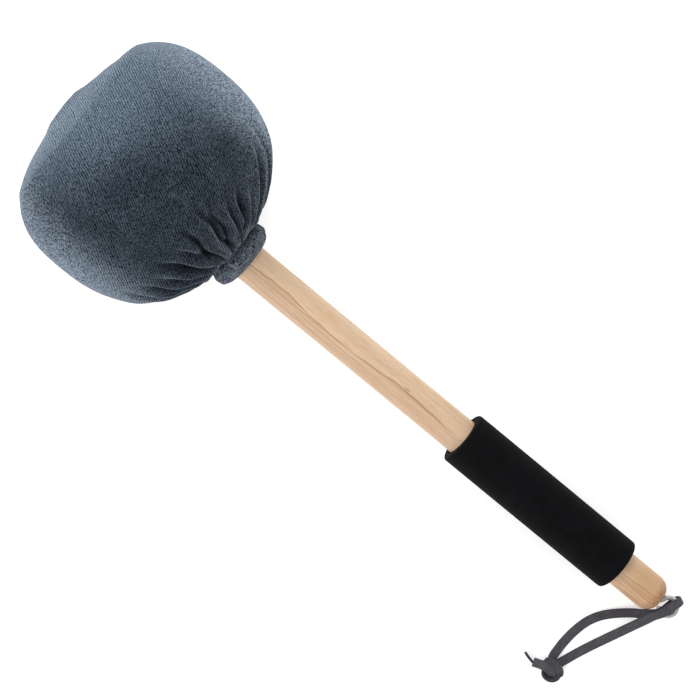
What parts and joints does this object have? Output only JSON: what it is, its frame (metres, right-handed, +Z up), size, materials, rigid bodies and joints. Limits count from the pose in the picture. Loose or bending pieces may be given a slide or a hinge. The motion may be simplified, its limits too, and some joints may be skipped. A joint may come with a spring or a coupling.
{
  "type": "gong mallet",
  "caption": "Gong mallet with a large padded head in a gathered cloth cover, a wooden handle with a foam grip, and a flat leather wrist lace on a screw eye.",
  "frame": {"origin": "middle of the small flat on the underside of the head, where the mallet rests on a table", "axes": "+Z up from the table, +X along the mallet from the head towards the butt of the handle"},
  "size_m": [0.5333, 0.1739, 0.1683],
  "materials": {
    "maple": "fine straight grain, satin clear coat",
    "foam": "closed-cell foam, matt",
    "zinc": "zinc plated, satin",
    "core_wood": "turned, raw",
    "steel": "bright zinc",
    "felt": "wool felt",
    "wadding": "soft wadding",
    "plush": "short plush pile",
    "waxed_cord": "waxed",
    "suede": "suede, matt"
  },
  "bodies": {
    "mallet": {"handle": "maple", "grip_sleeve": "foam", "screw_eye": "zinc", "head_core": "core_wood", "core_washer": "steel", "core_screw": "steel", "felt_wrap": "felt", "front_pad": "felt", "rear_pad": "felt", "padding": "wadding", "cover": "plush", "neck_tie": "waxed_cord"},
    "lace": {"lace_bight": "suede", "lace_front_strand": "suede", "lace_rear_strand": "suede", "lace_knot": "suede", "lace_tail_edge": "suede", "lace_tail_flat": "suede"}
  },
  "joints": [
    {"name": "lace_swing", "type": "hinge", "parent": "mallet", "child": "lace", "pos_m": [0.45399, 0.00595, 0.01089], "axis": [-0.9112, 0.3859, 0.1443], "range_deg": [0, 270]}
  ]
}
